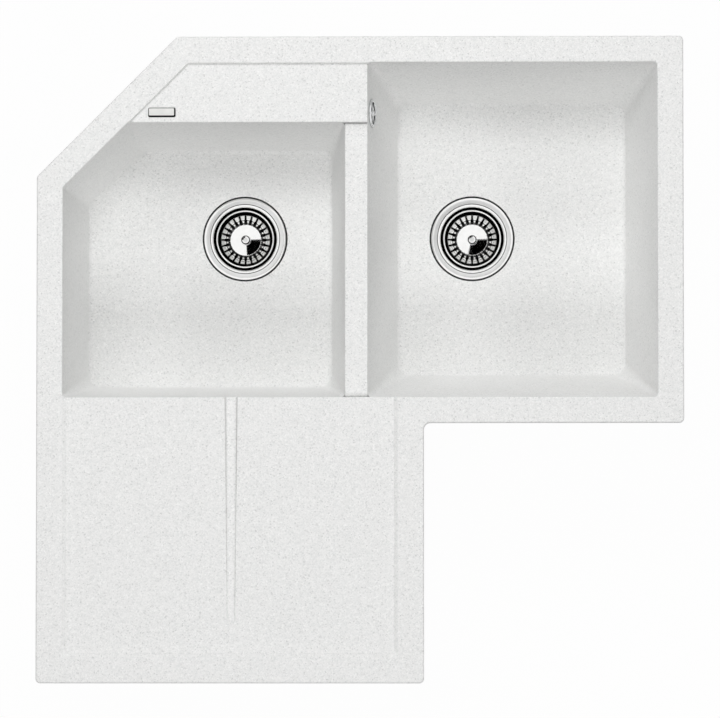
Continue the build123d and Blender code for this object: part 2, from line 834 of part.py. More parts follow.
def make_clamp_plug():
    foot = -clamp_boss_depth
    plug = disc(clamp_plug_radius - screw_fit, foot, clamp_plug_length - clamp_plug_gap)
    plug += disc(clamp_plug_radius + clamp_plug_collar, foot - clamp_plug_collar, clamp_plug_collar)
    return plug - disc(clamp_screw_radius + screw_fit, foot - 2 * over, clamp_plug_length + over)


def make_clamp_screw():
    foot = -clamp_screw_length - clamp_gap
    shank_top = clamp_plug_length - clamp_boss_depth - clamp_screw_setback
    shank = disc(clamp_screw_radius, foot, shank_top - foot)
    head = disc(clamp_screw_head_radius, foot - clamp_screw_head, clamp_screw_head)
    head = chamfer(head.faces().sort_by(Axis.Z)[0].edges(), clamp_screw_chamfer)
    slot = Pos(0, 0, foot - clamp_screw_head) * Box(3 * clamp_screw_head_radius, clamp_screw_slot, clamp_screw_head)
    return shank + head - slot


def group(copies):
    """Separate solids that share one node."""
    return Compound(children=[solid for copy in copies for solid in copy.solids()])


def save_strainer(side, u, spigot_turn):
    place = Pos(u, drain_v, floor_top)
    save(f"{side}_strainer_cup", place * make_strainer_cup())
    save(
        f"{side}_flange_gasket",
        place * ring(flange_radius - gasket_inset, gasket_bore, -seat_recess, gasket_thickness),
    )
    save(
        f"{side}_lower_gasket",
        place * ring(flange_radius - gasket_inset, gasket_bore, valve_top, lower_gasket_thickness),
    )
    save(f"{side}_valve_body", place * make_valve_body(spigot_turn))
    save(f"{side}_drain_screw", place * make_drain_screw())
    save(f"{side}_basket", place * make_basket())
    save(f"{side}_basket_knob", place * make_knob())
    save(f"{side}_basket_stopper", place * make_stopper())


def save_pipework():
    left = Pos(left_drain_u, drain_v, floor_top)
    right = Pos(right_drain_u, drain_v, floor_top)
    save("left_outlet_elbow", left * make_elbow())
    save("right_outlet_tee", right * make_tee())

    level = floor_top + pipe_level
    pipe_start = left_drain_u + bell_start + pipe_wall + slip_fit
    pipe_end = right_drain_u - pipe_radius - branch_length - pipe_wall - slip_fit
    cross = Pos(pipe_start, drain_v, level) * Rot(0, 90, 0)
    save("cross_pipe", cross * ring(pipe_radius, pipe_bore, 0, pipe_end - pipe_start))

    nut = make_union_nut()
    save("left_union_nut", left * Pos(0, 0, nut_foot) * nut)
    save("right_union_nut", right * Pos(0, 0, nut_foot) * nut)
    lip = nut_wall + washer_thickness
    left_bell = Pos(left_drain_u + bell_start + bell_length, drain_v, level) * Rot(0, -90, 0)
    right_bell = Pos(right_drain_u - pipe_radius - branch_length - bell_length, drain_v, level) * Rot(0, 90, 0)
    save("left_pipe_nut", left_bell * Pos(0, 0, -lip) * nut)
    save("right_pipe_nut", right_bell * Pos(0, 0, -lip) * nut)

    flat = ring(collar_radius, pipe_bore, valve_end - washer_thickness, washer_thickness)
    save("union_washers", group([left * flat, right * flat]))
    cone = ring(collar_radius, pipe_radius + slip_fit, -washer_thickness, washer_thickness)
    save("pipe_seals", group([left_bell * cone, right_bell * cone]))


def save_overflow():
    save("overflow_rosette", overflow_plane.location * make_rosette())
    save("overflow_screw", overflow_plane.location * make_overflow_screw())
    gasket = ring(overflow_flange_radius, overflow_hole_radius, gasket_back, overflow_gasket_thickness)
    save("overflow_gasket", overflow_plane.location * gasket)
    save("overflow_housing", overflow_plane.location * make_overflow_box())
    save("overflow_hose", make_hose())


def save_clamps():
    strip = make_clamp_strip()
    plug = make_clamp_plug()
    screw = make_clamp_screw()
    places = clamp_places()
    for number, (u, v, outwards) in enumerate(places, 1):
        save(f"clamp_{number}_strip", Pos(u, v, 0) * Rot(0, 0, outwards - 90) * strip)
    save("clamp_plugs", group([Pos(u, v, 0) * plug for u, v, _ in places]))
    save("clamp_screws", group([Pos(u, v, 0) * screw for u, v, _ in places]))


save("sink_body", make_body())
save("badge_plate", make_badge())
save_strainer("left", left_drain_u, None)
save_strainer("right", right_drain_u, valve_spigot_angle)
save_pipework()
save_overflow()
save_clamps()
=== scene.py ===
import math

import bmesh
import bpy
from mathutils import Matrix, Vector


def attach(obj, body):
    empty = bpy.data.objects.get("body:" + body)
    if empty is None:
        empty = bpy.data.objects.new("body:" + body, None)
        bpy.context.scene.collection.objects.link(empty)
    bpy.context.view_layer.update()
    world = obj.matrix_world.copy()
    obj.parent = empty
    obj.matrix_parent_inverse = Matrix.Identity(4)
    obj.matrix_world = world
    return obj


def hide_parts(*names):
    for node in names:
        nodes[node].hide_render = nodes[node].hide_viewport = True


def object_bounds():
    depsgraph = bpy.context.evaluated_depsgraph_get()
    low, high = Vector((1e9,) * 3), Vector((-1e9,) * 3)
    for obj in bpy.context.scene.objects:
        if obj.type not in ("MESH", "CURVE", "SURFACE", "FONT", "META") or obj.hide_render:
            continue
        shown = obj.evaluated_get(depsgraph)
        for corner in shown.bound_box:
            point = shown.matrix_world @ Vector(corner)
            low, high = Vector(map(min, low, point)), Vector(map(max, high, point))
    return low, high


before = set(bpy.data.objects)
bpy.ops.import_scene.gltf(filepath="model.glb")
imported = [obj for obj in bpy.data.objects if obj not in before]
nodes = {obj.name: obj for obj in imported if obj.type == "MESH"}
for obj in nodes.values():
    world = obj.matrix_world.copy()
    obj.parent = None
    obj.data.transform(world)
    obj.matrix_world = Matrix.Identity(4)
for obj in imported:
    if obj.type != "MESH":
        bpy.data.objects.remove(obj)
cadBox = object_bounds()
print("frame loaded:", len(nodes), "nodes")


def mm(value):
    return value / 1000


# Camera: a long lens almost straight above, tilted a little towards the front and the right
cameraSetup = {
    "target": (0.3217, -0.3216, 0.009),
    "distance": 7.0,
    "tiltRight": 1.16,  # degrees
    "tiltFront": 2.8,
    "lens": 273.6,
    "sensor": 36,
    "clip": (0.1, 100),
}


def makeCamera():
    lens = bpy.data.cameras.new("camera")
    lens.lens = cameraSetup["lens"]
    lens.sensor_width = cameraSetup["sensor"]
    lens.clip_start, lens.clip_end = cameraSetup["clip"]
    camera = bpy.data.objects.new("camera", lens)
    bpy.context.scene.collection.objects.link(camera)
    right = math.tan(math.radians(cameraSetup["tiltRight"]))
    front = math.tan(math.radians(cameraSetup["tiltFront"]))
    target = Vector(cameraSetup["target"])
    place = target + cameraSetup["distance"] * Vector((right, -front, 1))
    forward = (target - place).normalized()
    across = forward.cross(Vector((0, 1, 0))).normalized()
    upward = across.cross(forward)
    turn = Matrix((across, upward, -forward)).transposed().to_4x4()
    camera.matrix_world = Matrix.Translation(place) @ turn
    bpy.context.scene.camera = camera


makeCamera()
bpy.context.scene.view_settings.view_transform = "Standard"
print("camera placed")


# Colours are written as sRGB hex
def colour(code):
    parts = [int(code[i : i + 2], 16) / 255 for i in (1, 3, 5)]
    linear = [p / 12.92 if p <= 0.04045 else ((p + 0.055) / 1.055) ** 2.4 for p in parts]
    return (*linear, 1.0)


def addNode(tree, kind, inputs=None, **settings):
    node = tree.nodes.new(kind)
    for name, value in settings.items():
        setattr(node, name, value)
    for name, value in (inputs or {}).items():
        if isinstance(value, bpy.types.NodeSocket):
            tree.links.new(value, node.inputs[name])
        else:
            node.inputs[name].default_value = value
    return node


def newMaterial(name):
    material = bpy.data.materials.new(name)
    material.use_nodes = True
    tree = material.node_tree
    tree.nodes.clear()
    return material, tree


def finishMaterial(tree, shader):
    addNode(tree, "ShaderNodeOutputMaterial", {"Surface": shader.outputs[0]})


def setStops(node, stops):
    places = list(stops)
    ramp = node.color_ramp
    while len(ramp.elements) < len(places):
        ramp.elements.new(1.0)
    for element, (position, code) in zip(ramp.elements, places):
        element.position = position
        element.color = colour(code)
    return node


# Floor, background and lights
studio = {
    "floorColour": "#e4e4e3",
    "floorSize": 30.0,
    "floorGap": 0.5,  # mm under the object's lowest point
    "floorWhite": 0.975,  # how much of the floor's look is plain white
    "worldLight": 0.115,
    "lookAt": (0.32, -0.32, 0.0),
    "lampReach": 3.6,
    "lampSize": 0.9,
    # each lamp's tilt to the right and to the back in degrees, and its power
    "lamps": {
        "back": (0, 25, 28.5),
        "backLow": (0, 55, 24.5),
        "front": (0, -40, 41.0),
        "left": (-14, 6, 15.5),
        "leftBack": (-30, 30, 15.5),
        "right": (55, 20, 15.5),
    },
    "flagHeight": 20.0,  # a dark card far above, seen only in polished metal
    "flagCorner": (-0.42, 1.45),
    "flagSize": 5.0,
    "flagColour": "#050505",
}


def makeFloor():
    bm = bmesh.new()
    bmesh.ops.create_grid(bm, x_segments=1, y_segments=1, size=studio["floorSize"] / 2)
    right, back, _ = studio["lookAt"]
    bmesh.ops.translate(bm, verts=bm.verts, vec=(right, back, cadBox[0].z - mm(studio["floorGap"])))
    mesh = bpy.data.meshes.new("floor")
    bm.to_mesh(mesh)
    bm.free()
    floor = bpy.data.objects.new("floor", mesh)
    bpy.context.scene.collection.objects.link(floor)
    material, tree = newMaterial("paintedStudioFloor")
    matt = addNode(tree, "ShaderNodeBsdfDiffuse", {"Color": colour(studio["floorColour"])})
    white = addNode(tree, "ShaderNodeEmission", {"Color": (1, 1, 1, 1), "Strength": 1.0})
    path = addNode(tree, "ShaderNodeLightPath")
    share = addNode(
        tree,
        "ShaderNodeMath",
        {0: path.outputs["Is Camera Ray"], 1: studio["floorWhite"]},
        operation="MULTIPLY",
    )
    mix = addNode(
        tree, "ShaderNodeMixShader", {0: share.outputs[0], 1: matt.outputs[0], 2: white.outputs[0]}
    )
    finishMaterial(tree, mix)
    mesh.materials.append(material)


def makeWorld():
    world = bpy.data.worlds.new("studioWhite")
    bpy.context.scene.world = world
    world.use_nodes = True
    tree = world.node_tree
    tree.nodes.clear()
    path = addNode(tree, "ShaderNodeLightPath")
    seen = path.outputs["Is Camera Ray"]
    for kind in ("Is Glossy Ray", "Is Transmission Ray"):
        seen = addNode(
            tree, "ShaderNodeMath", {0: seen, 1: path.outputs[kind]}, operation="MAXIMUM"
        ).outputs[0]
    strength = addNode(
        tree,
        "ShaderNodeMapRange",
        {"Value": seen, "To Min": studio["worldLight"], "To Max": 1.0},
    )
    light = addNode(
        tree, "ShaderNodeBackground", {"Color": (1, 1, 1, 1), "Strength": strength.outputs[0]}
    )
    addNode(tree, "ShaderNodeOutputWorld", {"Surface": light.outputs[0]})


def makeLamps():
    for name, (right, back, power) in studio["lamps"].items():
        lamp = bpy.data.lights.new(name + "Lamp", "AREA")
        lamp.shape = "SQUARE"
        lamp.size = studio["lampSize"]
        lamp.energy = power
        holder = bpy.data.objects.new(name + "Lamp", lamp)
        bpy.context.scene.collection.objects.link(holder)
        way = Vector((math.tan(math.radians(right)), math.tan(math.radians(back)), 1)).normalized()
        holder.location = Vector(studio["lookAt"]) + studio["lampReach"] * way
        holder.rotation_euler = (-way).to_track_quat("-Z", "Y").to_euler()
        holder.visible_glossy = False  # polished steel shows the white room, not the lamps


# The flag's corner lies where a level mirror shows the camera, so a low cone mirrors it as a wedge
def makeFlag():
    size = studio["flagSize"]
    right, back = studio["flagCorner"]
    corner = Vector((right, back, studio["flagHeight"]))
    bm = bmesh.new()
    bmesh.ops.create_grid(bm, x_segments=1, y_segments=1, size=size / 2)
    bmesh.ops.translate(bm, verts=bm.verts, vec=corner + Vector((size / 2, -size / 2, 0)))
    mesh = bpy.data.meshes.new("darkFlag")
    bm.to_mesh(mesh)
    bm.free()
    flag = bpy.data.objects.new("darkFlag", mesh)
    bpy.context.scene.collection.objects.link(flag)
    material, tree = newMaterial("blackFelt")
    felt = addNode(tree, "ShaderNodeBsdfDiffuse", {"Color": colour(studio["flagColour"])})
    finishMaterial(tree, felt)
    mesh.materials.append(material)
    flag.visible_camera = False
    flag.visible_diffuse = False
    flag.visible_shadow = False
    flag.visible_transmission = False


makeFloor()
makeWorld()
makeLamps()
makeFlag()
print("floor, world, lamps and flag made")


# Cast granite composite: quartz granules in acrylic resin, matt from the mould.
# Small grains of slightly different white, a few of them grey, give the eye a soft speckle.
granite = {
    "grain": 1.5,  # mm, coarser than the real 0.5 mm granules so that it shows
    "dust": 0.9,
    "dustShade": (0.95, 1.03),
    "crease": 3.5,  # mm, how far from a step's foot the painted crease shade reaches
    "creaseOpen": (0.5, 0.92),  # share of open sky at the crease's foot and at its edge
    "creaseShadeTone": 0.35,
    "peel": 1.6,
    "peelHeight": 0.25,
    "peelStrength": 0.4,
    "tones": [
        (0.0, "#d6d7d6"),
        (0.03, "#dededd"),
        (0.08, "#e8e9e8"),
        (0.5, "#f0f0ef"),
        (0.92, "#f6f6f5"),
        (1.0, "#fdfdfc"),
    ],
    "roughness": (0.3, 0.5),
}


def graniteComposite():
    material, tree = newMaterial("castGraniteComposite")
    place = addNode(tree, "ShaderNodeTexCoord").outputs["Object"]
    grains = addNode(tree, "ShaderNodeTexVoronoi", {"Vector": place, "Scale": 1 / mm(granite["grain"])})
    level = addNode(tree, "ShaderNodeSeparateColor", {0: grains.outputs["Color"]})
    tone = setStops(addNode(tree, "ShaderNodeValToRGB", {0: level.outputs[0]}), granite["tones"])
    dust = addNode(tree, "ShaderNodeTexVoronoi", {"Vector": place, "Scale": 1 / mm(granite["dust"])})
    fine = addNode(tree, "ShaderNodeSeparateColor", {0: dust.outputs["Color"]})
    # Painted shade: an occlusion test darkens the colour in creases and at the foot of each step
    crease = addNode(tree, "ShaderNodeAmbientOcclusion", {"Distance": mm(granite["crease"])}, samples=8)
    shut, clear = granite["creaseOpen"]
    depth = addNode(
        tree,
        "ShaderNodeMapRange",
        {
            "Value": crease.outputs["AO"],
            "From Min": shut,
            "From Max": clear,
            "To Min": granite["creaseShadeTone"],
        },
    )
    dull, bright = granite["dustShade"]
    speckle = addNode(
        tree, "ShaderNodeMapRange", {"Value": fine.outputs[0], "To Min": dull, "To Max": bright}
    )
    # the speckle's tone times the painted crease shade
    shade = addNode(
        tree, "ShaderNodeMath", {0: speckle.outputs[0], 1: depth.outputs[0]}, operation="MULTIPLY"
    )
    tinted = addNode(
        tree, "ShaderNodeVectorMath", {0: tone.outputs[0], "Scale": shade.outputs[0]}, operation="SCALE"
    )
    peel = addNode(
        tree,
        "ShaderNodeTexNoise",
        {"Vector": place, "Scale": 1 / mm(granite["peel"]), "Detail": 3.0},
    )
    bump = addNode(
        tree,
        "ShaderNodeBump",
        {
            "Height": peel.outputs[0],
            "Strength": granite["peelStrength"],
            "Distance": mm(granite["peelHeight"]),
        },
    )
    smooth, rough = granite["roughness"]
    gloss = addNode(
        tree, "ShaderNodeMapRange", {"Value": level.outputs[1], "To Min": smooth, "To Max": rough}
    )
    shader = addNode(
        tree,
        "ShaderNodeBsdfPrincipled",
        {"Base Color": tinted.outputs[0], "Roughness": gloss.outputs[0], "Normal": bump.outputs[0]},
    )
    finishMaterial(tree, shader)
    return material


# Metal: a tone with soft clouds, a roughness that varies a little, and fine marks of its making.
# Turned pieces have rings of marks around their own centre, the others a fine grain.
# The mark's size and height are in mm.
metal = {
    "clouds": 9,  # mm
    "cloudEdges": (0.3, 0.7),
    "ringScale": 0.314,  # the wave texture repeats once in this length divided by its scale
    "ringWobble": 0.6,
    "roughnessSpread": (0.8, 1.2),
    "markStrength": 0.3,
}


def metalFinish(name, light, dark, roughness, mark, markHeight, centre=None, edgeTint="#ffffff"):
    material, tree = newMaterial(name)
    place = addNode(tree, "ShaderNodeTexCoord").outputs["Object"]
    clouds = addNode(
        tree, "ShaderNodeTexNoise", {"Vector": place, "Scale": 1 / mm(metal["clouds"]), "Detail": 3.0}
    )
    tone = addNode(tree, "ShaderNodeValToRGB", {0: clouds.outputs[0]})
    setStops(tone, zip(metal["cloudEdges"], (dark, light)))
    grain = addNode(tree, "ShaderNodeTexNoise", {"Vector": place, "Scale": 1 / mm(mark), "Detail": 3.0})
    marks = grain
    if centre:
        moved = addNode(
            tree,
            "ShaderNodeMapping",
            {"Vector": place, "Location": [-part for part in centre]},
            vector_type="POINT",
        )
        marks = addNode(
            tree,
            "ShaderNodeTexWave",
            {
                "Vector": moved.outputs[0],
                "Scale": metal["ringScale"] / mm(mark),
                "Distortion": metal["ringWobble"],
                "Detail": 2.0,
            },
            wave_type="RINGS",
            rings_direction="Z",
        )
    smooth, rough = metal["roughnessSpread"]
    gloss = addNode(
        tree,
        "ShaderNodeMapRange",
        {"Value": grain.outputs[0], "To Min": roughness * smooth, "To Max": roughness * rough},
    )
    bump = addNode(
        tree,
        "ShaderNodeBump",
        {
            "Height": marks.outputs["Fac"],
            "Strength": metal["markStrength"],
            "Distance": mm(markHeight),
        },
    )
    shader = addNode(
        tree,
        "ShaderNodeBsdfPrincipled",
        {
            "Base Color": tone.outputs[0],
            "Metallic": 1.0,
            "Specular Tint": colour(edgeTint),
            "Roughness": gloss.outputs[0],
            "Normal": bump.outputs[0],
        },
    )
    finishMaterial(tree, shader)
    return material


# Moulded polymer: slight clouds in the colour, a fine moulded grain, and gloss that varies with it
polymer = {
    "clouds": 14,  # mm
    "cloudEdges": (0.3, 0.7),
    "roughnessSpread": 0.07,
    "grainStrength": 0.3,
}


def mouldedPolymer(name, light, dark, roughness, grain, grainHeight):
    material, tree = newMaterial(name)
    place = addNode(tree, "ShaderNodeTexCoord").outputs["Object"]
    clouds = addNode(
        tree, "ShaderNodeTexNoise", {"Vector": place, "Scale": 1 / mm(polymer["clouds"]), "Detail": 4.0}
    )
    tone = addNode(tree, "ShaderNodeValToRGB", {0: clouds.outputs[0]})
    setStops(tone, zip(polymer["cloudEdges"], (dark, light)))
    fine = addNode(tree, "ShaderNodeTexNoise", {"Vector": place, "Scale": 1 / mm(grain), "Detail": 3.0})
    spread = polymer["roughnessSpread"]
    gloss = addNode(
        tree,
        "ShaderNodeMapRange",
        {"Value": fine.outputs[0], "To Min": roughness - spread, "To Max": roughness + spread},
    )
    bump = addNode(
        tree,
        "ShaderNodeBump",
        {
            "Height": fine.outputs[0],
            "Strength": polymer["grainStrength"],
            "Distance": mm(grainHeight),
        },
    )
    shader = addNode(
        tree,
        "ShaderNodeBsdfPrincipled",
        {"Base Color": tone.outputs[0], "Roughness": gloss.outputs[0], "Normal": bump.outputs[0]},
    )
    finishMaterial(tree, shader)
    return material


composite = graniteComposite()
# Bright chrome plating over polished brass: mirror like, with faint waves
chrome = metalFinish("chromePlate", "#e6e7e8", "#dfe0e1", 0.07, 2.0, 0.01)
# Satin anodised aluminium, on the badge's face, light and even
anodised = metalFinish("satinAnodisedAluminium", "#f0f0ee", "#e8e8e6", 0.45, 0.5, 0.01)
# Black chrome of the badge's base; on the disc behind the overflow cover the same finish is painted
# shade for the hole behind its openings
blackChromeAndPaintedShade = metalFinish("blackChromeAndPaintedShade", "#141516", "#0e0f10", 0.35, 0.8, 0.01, edgeTint="#202021")
# Zinc plated mild steel, a little uneven and bluish
zinc = metalFinish("zincPlatedSteel", "#c3c8cc", "#aab0b5", 0.34, 0.9, 0.03)
# Stainless steel painted near black as shade: inside the cup, on the basket's steep wall, on the knob's
# side and under things
shadeBlackSteel = metalFinish("stainlessPaintedShade", "#121212", "#0c0c0c", 0.4, 0.7, 0.03, edgeTint="#202020")
# Moulded EPDM rubber, matt black
rubber = mouldedPolymer("mouldedRubber", "#1d1d1f", "#151517", 0.7, 0.7, 0.04)
# Injection moulded polypropylene, slightly glossy white
wasteWhite = mouldedPolymer("mouldedPolypropylene", "#ededea", "#e6e6e2", 0.34, 0.9, 0.02)
# The nuts' polypropylene is a little greyer, with a dull grip
nutGrey = mouldedPolymer("nutPolypropylene", "#d2d4d3", "#c9cbca", 0.38, 0.9, 0.03)
# Blown polyethylene of the hose, waxy and slightly warm
hoseWhite = mouldedPolymer("hosePolyethylene", "#dededa", "#d4d4d0", 0.42, 1.1, 0.03)
# Glass filled nylon plugs, matt
nylon = mouldedPolymer("mouldedNylon", "#b9b9b3", "#aeaea8", 0.5, 0.8, 0.03)
print("materials made")

# Where the strainers' axes meet the bowls' floors
drains = {
    "left": Vector((0.166464, -0.153964, -0.181)),
    "right": Vector((0.465464, -0.153964, -0.181)),
}
# Deep drawn stainless steel, polished: clear reflections with faint rings from the spinning
polishedSteel = {}
# The same steel with a satin turned finish, whose fine rings scatter the light
satinSteel = {}
for side, middle in drains.items():
    polishedSteel[side] = metalFinish(
        side + "PolishedStainless", "#fafaf9", "#f4f4f3", 0.05, 1.2, 0.003, middle
    )
    satinSteel[side] = metalFinish(
        side + "SatinStainless", "#f0f0ef", "#e9e9e8", 0.3, 0.8, 0.01, middle
    )


mergeReach = mm(0.004)  # points closer than this are one
cutReach = mm(0.001)  # a cut takes points closer than this as its own


# Mesh helpers: outlines are (radius, height, rounding) in mm, in the plane through the piece's axis
def drawOutline(bm, corners, closed):
    verts = [bm.verts.new((mm(radius), 0, mm(height))) for radius, height, rounding in corners]
    for start, end in zip(verts, verts[1:] + verts[:1] if closed else verts[1:]):
        bm.edges.new((start, end))
    for vert, (_, _, rounding) in zip(verts, corners):
        if rounding:
            bmesh.ops.bevel(
                bm,
                geom=[vert],
                offset=mm(rounding),
                offset_type="OFFSET",
                segments=4,
                profile=0.5,
                affect="VERTICES",
                material=-1,
            )


def spinOutline(bm, steps, turn=2 * math.pi, rise=0.0, merge=True):
    bmesh.ops.spin(
        bm,
        geom=bm.verts[:] + bm.edges[:],
        cent=(0, 0, 0),
        axis=(0, 0, 1),
        dvec=(0, 0, rise),
        angle=turn,
        steps=steps,
        use_merge=merge,
    )


def turned(corners, steps=96, closed=True):
    bm = bmesh.new()
    drawOutline(bm, corners, closed)
    spinOutline(bm, steps)
    bmesh.ops.remove_doubles(bm, verts=bm.verts, dist=mergeReach)
    bmesh.ops.recalc_face_normals(bm, faces=bm.faces)
    return bm


def joinMesh(bm, other, turn=None):
    if turn:
        bmesh.ops.transform(other, matrix=turn, verts=other.verts)
    part = bpy.data.meshes.new("part")
    other.to_mesh(part)
    other.free()
    bm.from_mesh(part)
    bpy.data.meshes.remove(part)


def makePiece(name, bm, place, materials, body, replaced=(), sharp=35):
    bmesh.ops.transform(bm, matrix=place, verts=bm.verts)
    mesh = bpy.data.meshes.new(name)
    bm.to_mesh(mesh)
    bm.free()
    for material in materials:
        mesh.materials.append(material)
    mesh.shade_smooth()
    mesh.set_sharp_from_angle(angle=math.radians(sharp))
    piece = bpy.data.objects.new(name, mesh)
    bpy.context.scene.collection.objects.link(piece)
    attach(piece, body)
    if replaced:
        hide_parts(*replaced)
    return piece


def bevelEdges(bm, edges, rounding, segments):
    bmesh.ops.bevel(
        bm,
        geom=edges,
        offset=mm(rounding),
        offset_type="OFFSET",
        segments=segments,
        profile=0.5,
        affect="EDGES",
        material=-1,
    )


def bevelBox(size, rounding):
    bm = bmesh.new()
    bmesh.ops.create_cube(bm, size=1)
    bmesh.ops.scale(bm, vec=[mm(side) for side in size], verts=bm.verts)
    bevelEdges(bm, bm.edges[:], rounding, 2)
    return bm


# A face's distance from the piece's axis and its height, in mm
def faceReach(face):
    middle = face.calc_center_median()
    return math.hypot(middle.x, middle.y) * 1000, middle.z * 1000


# Strainer flange with its cup: a rounded edge, a satin flat, a fine groove and a polished roll
# into the cup, whose floor is open between the four spokes of its hub
strainer = {
    "outline": [
        (53.8, -1.0, 0),
        (54.0, -0.4, 0.3),
        (53.8, 0.45, 0.4),
        (51.3, 1.0, 0.5),
        (46.1, 0.95, 0.1),
        (45.85, 0.55, 0.1),
        (45.45, 0.55, 0.1),
        (45.2, 1.15, 0.15),
        (42.9, 0.6, 0.5),
        (41.4, -0.4, 1.0),
        (41.4, -32.0, 4.0),
        (20.6, -32.0, 0.4),
        (20.0, -33.0, 0.2),
        (42.4, -33.0, 5.0),
        (42.4, -1.0, 1.5),
    ],
    "steps": 128,
    "satin": (45.8, 51.3),
    "groove": (45.2, 46.1),
    "grooveHeights": (0.4, 0.9),
    "paintedShadeBelow": -3.4,  # painted shade: the cup's wall and floor below this, and every face that looks down, get the near black steel
    "looksDown": -0.3,
    "hub": [(3.2, -32.9, 0.2), (3.2, -32.1, 0.2), (9.0, -32.1, 0.3), (9.0, -32.9, 0.3)],
    "spoke": (14.5, 4.0, 1.0),
    "spokeEdge": 0.3,
    "spokeMiddle": (14.8, 0, -32.5),
    "spokeTurns": (45, 135, 225, 315),
}


def makeStrainer(side, middle):
    bm = turned(strainer["outline"], strainer["steps"])
    satinFrom, satinTo = strainer["satin"]
    grooveFrom, grooveTo = strainer["groove"]
    grooveFloor, grooveTop = strainer["grooveHeights"]
    # Painted shade: the groove, the cup's inside and every face that looks down get the near black steel
    for face in bm.faces:
        reach, height = faceReach(face)
        if grooveFrom < reach < grooveTo and grooveFloor < height < grooveTop:
            face.material_index = 2
        elif face.normal.z > 0.5 and satinFrom < reach < satinTo:
            face.material_index = 1
        elif height < strainer["paintedShadeBelow"] or face.normal.z < strainer["looksDown"]:
            face.material_index = 2
    hub = turned(strainer["hub"], 48)
    outward = Matrix.Translation([mm(part) for part in strainer["spokeMiddle"]])
    for turn in strainer["spokeTurns"]:
        spoke = bevelBox(strainer["spoke"], strainer["spokeEdge"])
        joinMesh(hub, spoke, Matrix.Rotation(math.radians(turn), 4, "Z") @ outward)
    # the hub and its spokes, deep in the cup, are painted near black as shade
    for face in hub.faces:
        face.material_index = 2
    joinMesh(bm, hub)
    makePiece(
        side + "FlangeAndCup",
        bm,
        Matrix.Translation(middle),
        [polishedSteel[side], satinSteel[side], shadeBlackSteel],
        "sink",
        [side + "_strainer_cup"],
    )


# Basket: a pressed sheet with 24 keyhole slots, a low cone in the middle and a rolled rim.
# Each row is (radius, height, half the width of the slot); a row without a slot has 0.
basket = {
    "rows": [
        (3.0, -20.9, 0),
        (7.0, -21.15, 0),
        (12.0, -21.55, 0),
        (17.2, -21.95, 0),
        (19.2, -22.12, 0),
        (20.0, -22.2, 0),
        (20.3, -22.15, 0),
        (20.5, -21.95, 0.75),
        (20.85, -21.55, 1.3),
        (21.2, -21.2, 1.55),
        (22.0, -20.55, 1.6),
        (23.4, -19.65, 1.6),
        (24.8, -18.85, 1.6),
        (25.9, -18.2, 1.55),
        (26.4, -17.9, 1.3),
        (26.8, -17.65, 0.9),
        (28.2, -16.85, 0.75),
        (29.2, -16.25, 0.75),
        (30.2, -15.7, 0.75),
        (31.6, -14.9, 0.7),
        (31.9, -14.7, 0.45),
        (32.3, -14.3, 0),
        (32.9, -13.2, 0),
        (33.3, -11.8, 0),
        (33.8, -9.0, 0),
        (34.4, -5.6, 0),
        (34.9, -3.5, 0),
        (35.4, -2.5, 0),
    ],
    "slots": 24,
    "columns": 5,  # of faces in each slot's sector: rib, edge, slot, edge, rib
    "plainHalf": 0.75,
    "pressed": 0.35,  # the slots' edges are pressed down by this much
    "pressedAcross": (0, 0.2, 1, 1, 0.2, 0),  # its share at each line between the columns
    # heights of the ribs' ripple by radius, and its share at each line
    "ripple": {
        22.0: -0.3,
        23.4: 0.45,
        24.8: -0.45,
        26.4: 0.4,
        28.2: -0.45,
        29.2: 0.4,
        30.2: -0.3,
        31.6: 0.3,
    },
    "rippleAcross": (1, 0.6, 0, 0, 0.6, 1),
    "slotReach": 1 / 12,  # share of a sector, to each side, that holds the slot's faces
    "weld": 0.02,  # sectors join where their points are this close
    "sheet": 0.8,
    "wall": 32.4,  # from this radius the steep wall is painted near black as shade
    "rimMiddle": 37.15,
    "rimHeight": -2.75,
    "rimWire": 1.3,
    "rimRounding": 0.98,  # share of the wire's radius
}


# Rows are found again by their radius in mm, counted in steps of 0.05
def rowKey(radius):
    return round(radius * 20)


